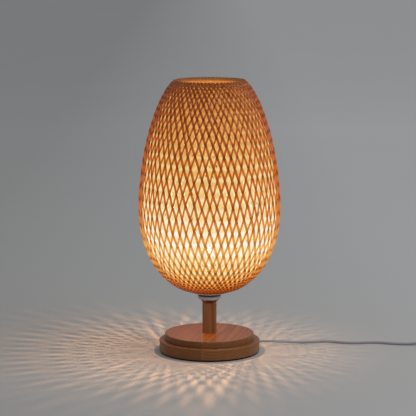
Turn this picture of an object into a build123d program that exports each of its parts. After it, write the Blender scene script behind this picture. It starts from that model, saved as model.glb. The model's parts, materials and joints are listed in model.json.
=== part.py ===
from build123d import *
import math
import os

# A table lamp: a stepped wooden foot, a short dowel stem, a lampholder and a
# double-walled woven shade, with its mains lead, inline switch and plug.
# Millimetres, +Z up. The origin is the centre of the foot's underside.

os.makedirs("parts", exist_ok=True)

# ---------------------------------------------------------------- foot and stem
pad_radius = 74.2
pad_height = 2.0
lower_disc_radius = 75.8
lower_disc_height = 16.5
upper_disc_radius = 67.3
upper_disc_height = 10.0
lower_disc_edge = 1.6
upper_disc_edge = 1.3
stem_radius = 10.7
stem_length = 46.5
rod_radius = 5.0
rod_bore_radius = 3.6
rod_clearance = 0.2
recess_radius = 20.0
recess_depth = 11.0

lower_disc_top = pad_height + lower_disc_height
upper_disc_top = lower_disc_top + upper_disc_height
stem_top = upper_disc_top + stem_length
recess_roof = pad_height + recess_depth

# ------------------------------------------------------------------- lampholder
cup_seat_radius = 10.4
cup_radius = 17.6
cup_flange_radius = 18.9
cup_wall = 0.8
cup_cone_height = 6.4
cup_band_height = 7.2
cup_flange_height = 1.8
cup_height = 19.6
nut_across_flats = 14.0
nut_height = 3.0
washer_height = 0.8
skirt_radius = 17.9
skirt_bore_radius = 14.6
skirt_top = 126.0
shell_bore_radius = 13.7
shell_wall = 0.4

cup_top = stem_top + cup_height
flange_top = stem_top + cup_cone_height + cup_band_height + cup_flange_height
insert_bottom = stem_top + 7.0
insert_top = stem_top + 23.0
rod_top = stem_top + 5.5

# ------------------------------------------------------------------------- bulb
bulb_tip = 103.8
bulb_length = 75.0
bulb_radius = 22.5
bulb_neck_radius = 11.6
bulb_wall = 0.8
cap_crest_radius = 13.1
cap_root_radius = 12.2
cap_pitch = 3.63
bulb_centre = bulb_tip + bulb_length - bulb_radius

# ------------------------------------------------------------------------ shade
# Radius and height of the outer woven wall, from the crest of the rim down to
# the ring that the strips end on, and the same for the inner woven wall.
outer_wall = [
    (52.3, 411.0), (57.6, 407.0), (69.8, 389.2), (84.8, 353.5), (96.0, 313.0),
    (104.0, 262.0), (106.5, 216.0), (102.6, 179.5), (91.0, 145.1), (79.0, 125.4),
    (66.0, 111.4), (50.0, 99.6), (36.0, 93.9), (26.0, 91.9),
]
inner_wall = [
    (52.3, 411.0), (48.2, 407.5), (54.4, 397.0), (63.0, 385.0), (77.6, 350.0),
    (88.5, 311.0), (96.4, 261.0), (98.9, 215.0), (95.2, 182.0), (84.4, 150.0),
    (64.0, 121.0), (43.0, 105.5), (30.0, 98.0), (24.6, 94.2),
]
wall_thickness = 1.6
hoop_radius = 1.5
# The outer wall's solid is made as panels: twelve round it, cut at these heights.
wall_panels_round = 12
wall_panel_heights = [118.0, 180.0, 300.0]
fitter_radius = 26.4
fitter_bore_radius = 18.1
fitter_height = 1.4
shade_ring_radius = 22.4

# ------------------------------------------------------------------- mains lead
lead_radius = 2.0
core_radius = 0.9
exit_angle = 21.0
exit_height = 8.0
grommet_flange_radius = 4.4
grommet_flange = 1.2
lead_start = lower_disc_radius + grommet_flange

switch_x = 372.0
switch_y = 36.0
switch_lead_height = 6.0
switch_length = 64.0
switch_width = 26.0
switch_body_length = 40.0
switch_snout_width = 9.0
switch_height = 15.0
switch_wall = 2.0
rocker_radius = 9.6
rocker_half_width = 5.2
rocker_tilt = 8.0
rocker_pivot_height = 11.0

coil_x = 400.0
coil_y = -14.0
coil_inner_radius = 13.0
coil_outer_radius = 35.0
coil_bottom = 0.8
coil_height = 8.0
tie_width = 5.0
tie_angle = 150.0

plug_x = 392.0
plug_y = -68.0
plug_lead_height = 7.0
plug_relief_length = 22.0
plug_body_length = 35.0
plug_width = 25.5
plug_thickness = 13.7
pin_length = 19.0
pin_spacing = 18.6
pin_radius = 1.95
pin_core_radius = 1.4
sleeve_length = 10.0

exit_direction = Vector(math.cos(math.radians(exit_angle)), math.sin(math.radians(exit_angle)), 0)


def along_exit(distance, height):
    """A point over the line on which the lead leaves the foot."""
    return (exit_direction.X * distance, exit_direction.Y * distance, height)


# The lead's route from the foot to the switch, from the switch to the coil, and
# from the coil to the plug. It drops from the foot and then lies on the table.
run_points = [
    along_exit(lead_start, exit_height), (88.5, 33.4, 7.5), (111.0, 36.5, 5.4), (146.0, 44.5, 3.0),
    (180.0, 58.0, lead_radius), (214.0, 41.0, lead_radius), (252.0, 50.5, lead_radius),
    (288.0, 37.0, lead_radius), (315.0, 35.4, 2.6), (336.0, switch_y, switch_lead_height),
    (351.0, switch_y, switch_lead_height),
]
link_points = [
    (394.5, switch_y, switch_lead_height), (407.0, switch_y, switch_lead_height), (419.0, 31.6, 4.8),
    (428.2, 22.4, 3.6), (432.8, 10.2, 2.9), (433.0, -2.5, 2.8),
]
tail_points = [
    (433.0, -26.0, 6.5), (432.6, -39.0, 4.6), (427.5, -53.0, 2.8), (417.5, -63.0, 2.6),
    (404.6, plug_y, 5.0), (plug_x, plug_y, plug_lead_height),
]


def bend_radii(points):
    """The largest easy radius at each corner: 0.45 of the shorter run over tan(turn / 2)."""
    radii = []
    for before, corner, after in zip(points, points[1:], points[2:]):
        arriving = Vector(*corner) - Vector(*before)
        leaving = Vector(*after) - Vector(*corner)
        half_turn = math.radians(arriving.get_angle(leaving)) / 2
        radii.append(0.45 * min(arriving.length, leaving.length) / math.tan(half_turn))
    return radii


def hexagon_nut_sides(across_flats):
    """The corner radius of a hexagon nut."""
    return across_flats / 2 / math.cos(math.radians(30))


# ============================================================== foot and stem
with BuildPart() as base_pad:
    with BuildSketch():
        Circle(pad_radius)
    extrude(amount=pad_height)
base_pad.part.label = "base_pad"
export_step(base_pad.part, "parts/base_pad.step")

with BuildPart() as lower_disc:
    with BuildSketch(Plane.XY.offset(pad_height)):
        Circle(lower_disc_radius)
    extrude(amount=lower_disc_height)
    fillet(lower_disc.edges().group_by(Axis.Z)[-1], radius=lower_disc_edge)
    fillet(lower_disc.edges().group_by(Axis.Z)[0], radius=1.0)
    with BuildSketch(Plane.XY.offset(pad_height)):
        Circle(recess_radius)
    extrude(amount=recess_depth, mode=Mode.SUBTRACT)
    with BuildSketch(Plane.XY.offset(recess_roof)):
        Circle(rod_radius + rod_clearance)
    extrude(amount=lower_disc_height, mode=Mode.SUBTRACT)
    with BuildSketch(Plane(origin=along_exit(recess_radius - 3, exit_height), z_dir=exit_direction)):
        Circle(lead_radius + 1.1)
    extrude(amount=lower_disc_radius, mode=Mode.SUBTRACT)
lower_disc.part.label = "lower_disc"
export_step(lower_disc.part, "parts/lower_disc.step")

with BuildPart() as upper_disc:
    with BuildSketch(Plane.XY.offset(lower_disc_top)):
        Circle(upper_disc_radius)
        Circle(rod_radius + rod_clearance, mode=Mode.SUBTRACT)
    extrude(amount=upper_disc_height)
    rim_edges = upper_disc.edges().filter_by(GeomType.CIRCLE).group_by(SortBy.RADIUS)[-1]
    fillet(rim_edges.sort_by(Axis.Z)[-1], radius=upper_disc_edge)
upper_disc.part.label = "upper_disc"
export_step(upper_disc.part, "parts/upper_disc.step")

with BuildPart() as stem:
    with BuildSketch(Plane.XY.offset(upper_disc_top)):
        Circle(stem_radius)
        Circle(rod_radius + rod_clearance, mode=Mode.SUBTRACT)
    extrude(amount=stem_length)
    stem_edges = stem.edges().filter_by(GeomType.CIRCLE).group_by(SortBy.RADIUS)[-1]
    fillet(stem_edges.sort_by(Axis.Z)[-1], radius=0.7)
stem.part.label = "stem"
export_step(stem.part, "parts/stem.step")

with BuildPart() as threaded_rod:
    with BuildSketch(Plane.XY.offset(recess_roof - 4.5)):
        Circle(rod_radius)
        Circle(rod_bore_radius, mode=Mode.SUBTRACT)
    extrude(amount=rod_top - recess_roof + 4.5)
    chamfer(threaded_rod.edges().filter_by(GeomType.CIRCLE).group_by(SortBy.RADIUS)[-1], length=0.5)
threaded_rod.part.label = "threaded_rod"
export_step(threaded_rod.part, "parts/threaded_rod.step")

with BuildPart() as rod_washer:
    with BuildSketch(Plane.XY.offset(recess_roof - washer_height)):
        Circle(rod_radius * 2.2)
        Circle(rod_radius + rod_clearance, mode=Mode.SUBTRACT)
    extrude(amount=washer_height)
rod_washer.part.label = "rod_washer"
export_step(rod_washer.part, "parts/rod_washer.step")

with BuildPart() as rod_nut:
    with BuildSketch(Plane.XY.offset(recess_roof - washer_height - nut_height)):
        RegularPolygon(radius=hexagon_nut_sides(nut_across_flats), side_count=6)
        Circle(rod_radius, mode=Mode.SUBTRACT)
    extrude(amount=nut_height)
rod_nut.part.label = "rod_nut"
export_step(rod_nut.part, "parts/rod_nut.step")

with BuildPart() as cord_grommet:
    with BuildSketch(Plane(origin=along_exit(lower_disc_radius - 8, exit_height), z_dir=exit_direction)):
        Circle(lead_radius + 1.0)
        Circle(lead_radius, mode=Mode.SUBTRACT)
    extrude(amount=8.0)
    with BuildSketch(Plane(origin=along_exit(lower_disc_radius, exit_height), z_dir=exit_direction)):
        Circle(grommet_flange_radius)
        Circle(lead_radius, mode=Mode.SUBTRACT)
    extrude(amount=grommet_flange)
    fillet(cord_grommet.edges().filter_by(GeomType.CIRCLE).group_by(SortBy.RADIUS)[-1], radius=0.5)
cord_grommet.part.label = "cord_grommet"
export_step(cord_grommet.part, "parts/cord_grommet.step")

# The lead inside the foot: in through the grommet, down to the recess, and up
# the hollow rod to the lampholder.
inner_route_points = [
    along_exit(lead_start - 0.1, exit_height), along_exit(22.0, exit_height), along_exit(11.0, 4.7),
    (0, 0, 4.6), (0, 0, rod_top + 0.4),
]
with BuildPart() as inner_lead:
    with BuildLine() as inner_route:
        FilletPolyline(*inner_route_points, radius=[20.0, 15.0, 5.0])
    with BuildSketch(Plane(origin=inner_route.line @ 0, z_dir=inner_route.line % 0)):
        Circle(lead_radius)
    sweep(path=inner_route.line)
inner_lead.part.label = "inner_lead"
export_step(inner_lead.part, "parts/inner_lead.step")

# ================================================================= lampholder
with BuildPart() as holder_cup:
    with BuildSketch(Plane.XZ):
        with BuildLine():
            Polyline(
                (rod_radius + rod_clearance, stem_top), (cup_seat_radius, stem_top),
                (cup_radius, stem_top + cup_cone_height),
                (cup_radius, stem_top + cup_cone_height + cup_band_height),
                (cup_flange_radius, stem_top + cup_cone_height + cup_band_height),
                (cup_flange_radius, flange_top), (cup_radius, flange_top), (cup_radius, cup_top),
                (cup_radius - cup_wall, cup_top),
                (cup_radius - cup_wall, stem_top + cup_cone_height + 0.3),
                (cup_seat_radius, stem_top + 1.1 * cup_wall),
                (rod_radius + rod_clearance, stem_top + cup_wall),
                close=True,
            )
        make_face()
    revolve(axis=Axis.Z)
    flange_edges = holder_cup.edges().filter_by(GeomType.CIRCLE).group_by(SortBy.RADIUS)[-1]
    fillet(flange_edges, radius=0.8)
holder_cup.part.label = "holder_cup"
export_step(holder_cup.part, "parts/holder_cup.step")

with BuildPart() as cup_washer:
    with BuildSketch(Plane.XY.offset(stem_top + 1.1 * cup_wall)):
        Circle(8.6)
        with PolarLocations(8.6, 16):
            Circle(0.7, mode=Mode.SUBTRACT)
        Circle(rod_radius + rod_clearance, mode=Mode.SUBTRACT)
    extrude(amount=washer_height)
cup_washer.part.label = "cup_washer"
export_step(cup_washer.part, "parts/cup_washer.step")

with BuildPart() as cup_nut:
    with BuildSketch(Plane.XY.offset(stem_top + 1.1 * cup_wall + washer_height)):
        RegularPolygon(radius=hexagon_nut_sides(nut_across_flats), side_count=6)
        Circle(rod_radius, mode=Mode.SUBTRACT)
    extrude(amount=nut_height)
cup_nut.part.label = "cup_nut"
export_step(cup_nut.part, "parts/cup_nut.step")

# The insulating skirt screws into the cup and carries the shade ring's thread.
thread_pitch = 2.5
thread_depth = 0.7
thread_turns = 9
with BuildPart() as holder_skirt:
    with BuildSketch(Plane.XZ):
        with BuildLine():
            Polyline(
                (skirt_bore_radius, stem_top + 13.5), (16.6, stem_top + 13.5), (16.6, cup_top + 0.2),
                (skirt_radius, cup_top + 0.2), (skirt_radius, skirt_top), (cap_crest_radius + 0.6, skirt_top),
                (cap_crest_radius + 0.6, skirt_top - 2.0), (skirt_bore_radius, skirt_top - 2.0),
                close=True,
            )
        make_face()
        for turn in range(thread_turns):
            groove_height = cup_top + 2.0 + turn * thread_pitch
            with BuildLine():
                Polyline(
                    (skirt_radius + 0.1, groove_height), (skirt_radius - thread_depth, groove_height + 0.9),
                    (skirt_radius + 0.1, groove_height + 1.8), close=True,
                )
            make_face(mode=Mode.SUBTRACT)
    revolve(axis=Axis.Z)
holder_skirt.part.label = "holder_skirt"
export_step(holder_skirt.part, "parts/holder_skirt.step")

terminal_x = 9.5
with BuildPart() as holder_insert:
    with BuildSketch(Plane.XY.offset(insert_bottom)):
        Circle(15.8)
    extrude(amount=4.0)
    with BuildSketch(Plane.XY.offset(insert_bottom + 4.0)):
        Circle(14.2)
    extrude(amount=insert_top - insert_bottom - 4.0)
    chamfer(holder_insert.edges().group_by(Axis.Z)[0], length=1.0)
    with BuildSketch(Plane.XY.offset(insert_bottom)):
        Circle(5.0)
        Rectangle(2 * terminal_x - 1.6, 2.6)
    extrude(amount=4.5, mode=Mode.SUBTRACT)
    with BuildSketch(Plane.XY.offset(insert_bottom)):
        with Locations((terminal_x, 0), (-terminal_x, 0)):
            Circle(1.5)
    extrude(amount=8.0, mode=Mode.SUBTRACT)
holder_insert.part.label = "holder_insert"
export_step(holder_insert.part, "parts/holder_insert.step")

with BuildPart() as terminal_screws:
    with BuildSketch(Plane.XY.offset(insert_bottom)):
        with Locations((terminal_x, 0), (-terminal_x, 0)):
            Circle(1.45)
    extrude(amount=7.0)
    with BuildSketch(Plane.XY.offset(insert_bottom)):
        with Locations((terminal_x, 0), (-terminal_x, 0)):
            Circle(2.7)
    extrude(amount=-1.0)
terminal_screws.part.label = "terminal_screws"
export_step(terminal_screws.part, "parts/terminal_screws.step")


def core_route(side):
    """A core rises out of the lead's sheath and turns outwards to its terminal screw."""
    return [
        (side * 1.0, 0, rod_top + 0.5), (side * 1.0, 0, insert_bottom + 2.4),
        (side * (terminal_x - 1.6), 0, insert_bottom + 2.4),
    ]


with BuildPart() as live_core:
    with BuildLine() as live_route:
        FilletPolyline(*core_route(1), radius=[1.8])
    with BuildSketch(Plane(origin=live_route.line @ 0, z_dir=live_route.line % 0)):
        Circle(core_radius)
    sweep(path=live_route.line)
live_core.part.label = "live_core"
export_step(live_core.part, "parts/live_core.step")

with BuildPart() as neutral_core:
    with BuildLine() as neutral_route:
        FilletPolyline(*core_route(-1), radius=[1.8])
    with BuildSketch(Plane(origin=neutral_route.line @ 0, z_dir=neutral_route.line % 0)):
        Circle(core_radius)
    sweep(path=neutral_route.line)
neutral_core.part.label = "neutral_core"
export_step(neutral_core.part, "parts/neutral_core.step")

shell_top = skirt_top - 2.5
with BuildPart() as screw_shell:
    with BuildSketch(Plane.XY.offset(insert_top)):
        Circle(shell_bore_radius + shell_wall)
        Circle(shell_bore_radius, mode=Mode.SUBTRACT)
    extrude(amount=shell_top - insert_top)
    with BuildSketch(Plane.XY.offset(insert_top)):
        Circle(shell_bore_radius + shell_wall)
        Circle(10.0, mode=Mode.SUBTRACT)
    extrude(amount=shell_wall)
screw_shell.part.label = "screw_shell"
export_step(screw_shell.part, "parts/screw_shell.step")

# A sprung brass tongue, riveted at one end, that rises under the bulb's tip.
with BuildPart() as centre_contact:
    with BuildSketch(Plane.XZ.offset(-3.0)):
        with BuildLine():
            Polyline(
                (-8.5, insert_top), (-3.5, insert_top), (2.5, bulb_tip - 0.9), (6.0, bulb_tip - 1.6),
                (6.0, bulb_tip - 1.0), (2.5, bulb_tip - 0.3), (-3.7, insert_top + 0.6),
                (-8.5, insert_top + 0.6), close=True,
            )
        make_face()
    extrude(amount=6.0)
centre_contact.part.label = "centre_contact"
export_step(centre_contact.part, "parts/centre_contact.step")

# =============================================================== woven shade
with BuildPart() as shade_fitter:
    with BuildSketch(Plane.XY.offset(flange_top)):
        Circle(fitter_radius)
        Circle(fitter_bore_radius, mode=Mode.SUBTRACT)
    extrude(amount=fitter_height)
    fitter_edges = shade_fitter.edges().filter_by(GeomType.CIRCLE).group_by(SortBy.RADIUS)[-1]
    fillet(fitter_edges, radius=0.5)
shade_fitter.part.label = "shade_fitter"
export_step(shade_fitter.part, "parts/shade_fitter.step")

fitter_top = flange_top + fitter_height
with BuildPart() as shade_ring:
    with BuildSketch(Plane.XY.offset(fitter_top)):
        Circle(shade_ring_radius)
        Circle(skirt_radius + 0.2, mode=Mode.SUBTRACT)
    extrude(amount=1.8)
    with BuildSketch(Plane.XY.offset(fitter_top + 1.8)):
        Circle(skirt_radius + 2.6)
        Circle(skirt_radius + 0.2, mode=Mode.SUBTRACT)
    extrude(amount=8.0)
    with BuildSketch(Plane.XY.offset(fitter_top)):
        with PolarLocations(shade_ring_radius, 24):
            Circle(0.8)
    extrude(amount=1.8, mode=Mode.SUBTRACT)
shade_ring.part.label = "shade_ring"
export_step(shade_ring.part, "parts/shade_ring.step")


def wall_inside(points, thickness):
    """The same wall line moved towards the space between the two walls by its thickness."""
    moved = []
    for before, here, after in zip(points, points[1:], points[2:]):
        run = Vector(after[0] - before[0], after[1] - before[1])
        moved.append((here[0] + run.Y / run.length * thickness, here[1] - run.X / run.length * thickness))
    return moved


# The outer wall, from the rim's crest to the fitter. It is divided into panels,
# because each solid's collision hull then lies close to the curved wall.
outer_inside = wall_inside(outer_wall, wall_thickness)
with BuildPart() as wall_sector:
    with BuildSketch(Plane.XZ):
        with BuildLine():
            outer_skin = Spline(*outer_wall)
            outer_back = Spline(
                (outer_wall[0][0], outer_wall[0][1] - wall_thickness), *outer_inside,
                (outer_wall[-1][0], outer_wall[-1][1] + wall_thickness),
            )
            Line(outer_skin @ 0, outer_back @ 0)
            Line(outer_skin @ 1, outer_back @ 1)
        make_face()
    revolve(axis=Axis.Z, revolution_arc=360 / wall_panels_round)
    for height in wall_panel_heights:
        split(bisect_by=Plane.XY.offset(height), keep=Keep.BOTH)
outer_weave = Compound(
    label="outer_weave",
    children=[
        panel.rotate(Axis.Z, 360 / wall_panels_round * place)
        for place in range(wall_panels_round)
        for panel in wall_sector.part.solids()
    ],
)
export_step(outer_weave, "parts/outer_weave.step")
print("outer_weave panels", len(outer_weave.solids()), "volume", round(outer_weave.volume))

# The inner wall, from the rim's crest, hugging the outer one a few millimetres
# inside it. The wall's thickness is on the side that faces the outer wall.
inner_outside = wall_inside(inner_wall, -wall_thickness)
with BuildPart() as inner_weave:
    with BuildSketch(Plane.XZ):
        with BuildLine():
            inner_skin = Spline(*inner_wall)
            inner_back = Spline(
                (inner_wall[0][0], inner_wall[0][1] - wall_thickness), *inner_outside,
                (inner_wall[-1][0] + wall_thickness, inner_wall[-1][1] + 0.4),
            )
            Line(inner_skin @ 0, inner_back @ 0)
            Line(inner_skin @ 1, inner_back @ 1)
        make_face()
    revolve(axis=Axis.Z)
inner_weave.part.label = "inner_weave"
export_step(inner_weave.part, "parts/inner_weave.step")

with BuildPart() as rim_hoop:
    with BuildSketch(Plane.XZ):
        with Locations((outer_wall[0][0] + 1.0, outer_wall[0][1] - 5.6)):
            Circle(hoop_radius)
    revolve(axis=Axis.Z)
rim_hoop.part.label = "rim_hoop"
export_step(rim_hoop.part, "parts/rim_hoop.step")

# ======================================================================= bulb
neck_angle = math.radians(-52)
neck_bottom = bulb_tip + 24.0
neck_top = bulb_tip + 27.2
sphere_leaves = (bulb_radius * math.cos(neck_angle), bulb_centre + bulb_radius * math.sin(neck_angle))
inner_bulb_radius = bulb_radius - bulb_wall
inner_leaves = (
    inner_bulb_radius * math.cos(neck_angle), bulb_centre + inner_bulb_radius * math.sin(neck_angle)
)
with BuildPart() as bulb_glass:
    with BuildSketch(Plane.XZ):
        with BuildLine():
            outside_globe = CenterArc((0, bulb_centre), bulb_radius, -52, 142)
            inside_globe = CenterArc((0, bulb_centre), inner_bulb_radius, -52, 142)
            outside_neck = Polyline(
                (bulb_neck_radius, neck_bottom), (bulb_neck_radius, neck_top), sphere_leaves
            )
            inside_neck = Polyline(
                (bulb_neck_radius - bulb_wall, neck_bottom), (bulb_neck_radius - bulb_wall, neck_top),
                inner_leaves,
            )
            Line(outside_neck @ 0, inside_neck @ 0)
            Line(outside_globe @ 1, inside_globe @ 1)
        make_face()
    revolve(axis=Axis.Z)
bulb_glass.part.label = "bulb_glass"
export_step(bulb_glass.part, "parts/bulb_glass.step")

cap_top = bulb_tip + 27.0
cap_bottom = bulb_tip + 6.0
with BuildPart() as bulb_cap:
    with BuildSketch(Plane.XZ):
        with BuildLine():
            Polyline(
                (11.9, cap_top), (cap_root_radius + 0.6, cap_top), (cap_root_radius + 0.4, cap_top - 4.0),
                (cap_root_radius, cap_top - 5.0), (cap_root_radius, cap_bottom + 1.0), (9.5, cap_bottom),
                (9.0, cap_bottom + 0.4), (11.7, cap_bottom + 1.4), (11.7, cap_top - 5.0), close=True,
            )
        make_face()
        with Locations(*[(cap_root_radius, cap_bottom + 2.6 + turn * cap_pitch) for turn in range(4)]):
            Circle(cap_crest_radius - cap_root_radius)
        with BuildLine():
            Polyline((0, cap_bottom + 1.4), (11.7, cap_bottom + 1.4), (11.7, cap_top), (0, cap_top), close=True)
        make_face(mode=Mode.SUBTRACT)
    revolve(axis=Axis.Z)
bulb_cap.part.label = "bulb_cap"
export_step(bulb_cap.part, "parts/bulb_cap.step")

with BuildPart() as bulb_insulator:
    with BuildSketch(Plane.XZ):
        with BuildLine():
            Polyline(
                (0, bulb_tip + 1.6), (4.8, bulb_tip + 1.6), (9.3, cap_bottom - 0.3), (8.6, cap_bottom + 0.4),
                (0, cap_bottom + 0.4), close=True,
            )
        make_face()
    revolve(axis=Axis.Z)
bulb_insulator.part.label = "bulb_insulator"
export_step(bulb_insulator.part, "parts/bulb_insulator.step")

with BuildPart() as bulb_contact:
    with BuildSketch(Plane.XZ):
        with BuildLine():
            Line((0, bulb_tip), (0, bulb_tip + 1.3))
            Line((0, bulb_tip + 1.3), (4.4, bulb_tip + 1.3))
            Bezier((4.4, bulb_tip + 1.3), (3.6, bulb_tip), (0, bulb_tip))
        make_face()
    revolve(axis=Axis.Z)
bulb_contact.part.label = "bulb_contact"
export_step(bulb_contact.part, "parts/bulb_contact.step")

mount_top = bulb_centre - 6.0
filament_height = bulb_centre - 2.5
filament_ring_radius = 8.0
with BuildPart() as bulb_mount:
    with BuildSketch(Plane.XZ):
        with BuildLine():
            Polyline(
                (0, neck_bottom + 0.4), (bulb_neck_radius - bulb_wall - 0.2, neck_bottom + 0.4),
                (bulb_neck_radius - bulb_wall - 0.2, neck_bottom + 1.2), (4.4, neck_bottom + 4.0),
                (3.6, neck_bottom + 10.0), (1.6, neck_bottom + 12.5), (1.5, mount_top - 2.5),
                (2.4, mount_top - 1.2), (1.6, mount_top), (0, mount_top), close=True,
            )
        make_face()
    revolve(axis=Axis.Z)
bulb_mount.part.label = "bulb_mount"
export_step(bulb_mount.part, "parts/bulb_mount.step")

with BuildPart() as bulb_filament:
    with BuildLine(Plane.XY.offset(filament_height)) as filament_route:
        CenterArc((0, 0), filament_ring_radius, -60, 300)
    with BuildSketch(Plane(origin=filament_route.line @ 0, z_dir=filament_route.line % 0)):
        Circle(0.4)
    sweep(path=filament_route.line)
bulb_filament.part.label = "bulb_filament"
export_step(bulb_filament.part, "parts/bulb_filament.step")

# The two lead-in wires stand beside the glass mount and hold the filament's ends.
filament_ends = [filament_route.line @ 0, filament_route.line @ 1]
with BuildPart() as bulb_wires:
    for end in filament_ends:
        with BuildLine() as wire_route:
            Polyline((end.X * 0.62, end.Y * 0.62, neck_bottom + 9.0), (end.X, end.Y, filament_height - 0.5))
        with BuildSketch(Plane(origin=wire_route.line @ 0, z_dir=wire_route.line % 0)):
            Circle(0.3)
        sweep(path=wire_route.line)
bulb_wires.part.label = "bulb_wires"
export_step(bulb_wires.part, "parts/bulb_wires.step")

# ================================================================= mains lead
with BuildPart() as cord_run:
    with BuildLine() as run_route:
        FilletPolyline(*run_points, radius=bend_radii(run_points))
    with BuildSketch(Plane(origin=run_route.line @ 0, z_dir=run_route.line % 0)):
        Circle(lead_radius)
    sweep(path=run_route.line)
cord_run.part.label = "cord_run"
export_step(cord_run.part, "parts/cord_run.step")

with BuildPart() as cord_link:
    with BuildLine() as link_route:
        FilletPolyline(*link_points, radius=bend_radii(link_points))
    with BuildSketch(Plane(origin=link_route.line @ 0, z_dir=link_route.line % 0)):
        Circle(lead_radius)
    sweep(path=link_route.line)
cord_link.part.label = "cord_link"
export_step(cord_link.part, "parts/cord_link.step")

with BuildPart() as cord_tail:
    with BuildLine() as tail_route:
        FilletPolyline(*tail_points, radius=bend_radii(tail_points))
    with BuildSketch(Plane(origin=tail_route.line @ 0, z_dir=tail_route.line % 0)):
        Circle(lead_radius)
    sweep(path=tail_route.line)
cord_tail.part.label = "cord_tail"
export_step(cord_tail.part, "parts/cord_tail.step")

for name, points in (("run", run_points), ("link", link_points), ("tail", tail_points)):
    print(name, "bend radii", [round(radius, 1) for radius in bend_radii(points)])
for name, route, piece in (
    ("run", run_route, cord_run), ("link", link_route, cord_link), ("tail", tail_route, cord_tail)
):
    route_length = sum(edge.length for edge in route.line.edges())
    tube_volume = route_length * math.pi * lead_radius**2
    print(name, "length", round(route_length, 1), "volume share", round(piece.part.volume / tube_volume, 4))

# The wound turns as one ring: their outer shape.
coil_plane = Plane(origin=(coil_x, coil_y, coil_bottom), x_dir=(1, 0, 0), z_dir=(0, -1, 0))
with BuildPart() as cord_coil:
    with BuildSketch(coil_plane):
        with Locations(((coil_inner_radius + coil_outer_radius) / 2, coil_height / 2)):
            RectangleRounded(coil_outer_radius - coil_inner_radius, coil_height, lead_radius - 0.1)
    revolve(axis=Axis((coil_x, coil_y, 0), (0, 0, 1)))
cord_coil.part.label = "cord_coil"
export_step(cord_coil.part, "parts/cord_coil.step")

tie_direction = Vector(math.cos(math.radians(tie_angle)), math.sin(math.radians(tie_angle)), 0)
tie_middle = (coil_inner_radius + coil_outer_radius) / 2
tie_gap = 0.15
tie_thickness = coil_bottom - tie_gap
tie_plane = Plane(
    origin=Vector(coil_x, coil_y, coil_bottom + coil_height / 2) + tie_direction * tie_middle,
    x_dir=tie_direction,
    z_dir=Vector(-tie_direction.Y, tie_direction.X, 0),
)
tie_span = coil_outer_radius - coil_inner_radius + 0.6
with BuildPart() as coil_tie:
    with BuildSketch(tie_plane):
        RectangleRounded(tie_span + 2 * tie_thickness, coil_height + 2 * coil_bottom, 1.2)
        RectangleRounded(tie_span, coil_height + 2 * tie_gap, 0.6, mode=Mode.SUBTRACT)
    extrude(amount=tie_width / 2, both=True)
coil_tie.part.label = "coil_tie"
export_step(coil_tie.part, "parts/coil_tie.step")

# ============================================================== inline switch
half_length = switch_length / 2
half_body = switch_body_length / 2
half_width = switch_width / 2
half_snout = switch_snout_width / 2
switch_outline = [
    (-half_length, -half_snout), (-half_body, -half_width), (half_body, -half_width),
    (half_length, -half_snout), (half_length, half_snout), (half_body, half_width),
    (-half_body, half_width), (-half_length, half_snout),
]
screw_places = [(-16.0, 8.2), (16.0, -8.2)]


def switch_plane(height):
    """A level plane at a height, centred on the switch."""
    return Plane(origin=(switch_x, switch_y, height))


with BuildPart() as switch_base:
    with BuildSketch(switch_plane(0)) as base_outline:
        Polygon(*switch_outline, align=None)
        fillet(base_outline.vertices(), radius=3.0)
    extrude(amount=switch_lead_height)
    fillet(switch_base.edges().group_by(Axis.Z)[0], radius=1.0)
    with BuildSketch(switch_plane(switch_wall)):
        RectangleRounded(switch_body_length - 2.0, switch_width - 2 * switch_wall, 2.0)
    extrude(amount=switch_lead_height, mode=Mode.SUBTRACT)
    with BuildSketch(switch_plane(switch_wall - 0.2)):
        with Locations(*screw_places):
            Circle(2.6)
    extrude(amount=switch_lead_height - switch_wall + 0.2)
    with BuildSketch(switch_plane(0)):
        with Locations(*screw_places):
            Circle(1.4)
    extrude(amount=switch_lead_height, mode=Mode.SUBTRACT)
    with BuildSketch(switch_plane(0)):
        with Locations(*screw_places):
            Circle(2.2)
    extrude(amount=1.5, mode=Mode.SUBTRACT)
    with BuildSketch(
        Plane(origin=(switch_x - switch_length, switch_y, switch_lead_height), z_dir=(1, 0, 0))
    ):
        Circle(lead_radius + 0.3)
    extrude(amount=2 * switch_length, mode=Mode.SUBTRACT)
switch_base.part.label = "switch_base"
export_step(switch_base.part, "parts/switch_base.step")

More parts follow.
